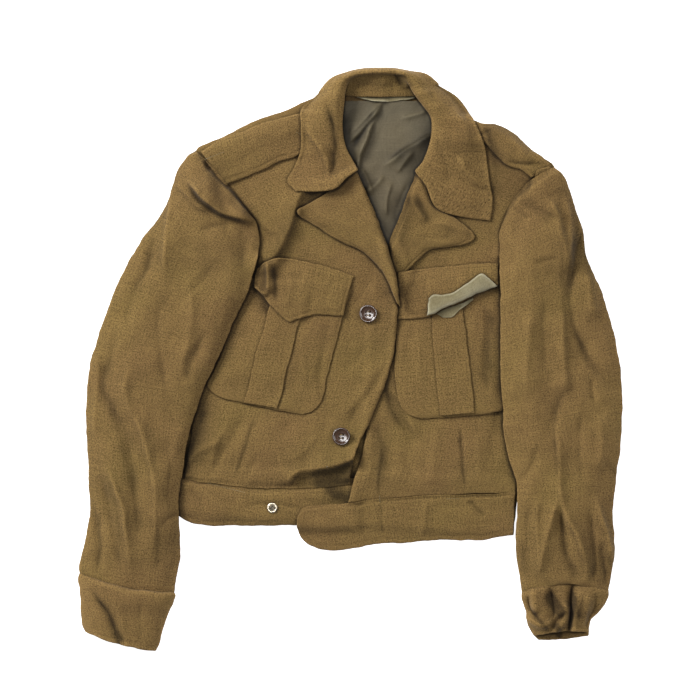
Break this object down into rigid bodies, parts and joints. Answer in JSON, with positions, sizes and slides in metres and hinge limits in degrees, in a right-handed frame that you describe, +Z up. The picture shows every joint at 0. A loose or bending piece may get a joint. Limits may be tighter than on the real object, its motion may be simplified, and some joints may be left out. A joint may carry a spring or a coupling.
{
  "type": "ike jacket",
  "caption": "Waist-length wool field jacket laid flat, with notched lapels, pleated flap pockets, shoulder straps and a buttoned front.",
  "frame": {"origin": "middle of the jacket's outline, on the surface it lies on", "axes": "+Z up from the surface, +Y towards the collar, +X towards the wearer's left sleeve, which is at the right from above"},
  "size_m": [0.6513, 0.6992, 0.0294],
  "materials": {
    "serge": "matt olive-brown wool serge",
    "lining": "soft grey-brown sateen",
    "drill": "pale khaki cotton drill",
    "button": "glossy dark brown",
    "snap": "worn nickel over brass"
  },
  "bodies": {
    "root": {"back": "serge", "waistband_back": "serge", "lining_back": "lining", "neck_tape": "drill", "front_right": "serge", "front_left": "serge", "waistband_right": "serge", "waistband_left": "serge", "lapel_right": "serge", "lapel_left": "serge", "collar": "serge", "pocket_right": "serge", "pocket_left": "serge", "pleat_right": "serge", "pleat_left": "serge", "flap_right": "serge", "flap_left": "serge", "flap_left_lining": "drill", "flap_left_tab": "drill", "strap_right": "serge", "strap_left": "serge", "sleeve_right_under": "serge", "sleeve_right_upper": "serge", "sleeve_left_under": "serge", "sleeve_left_upper": "serge", "cuff_right": "serge", "cuff_left": "serge", "button_upper": "button", "button_lower": "button", "snap_stud": "snap"}
  },
  "joints": []
}
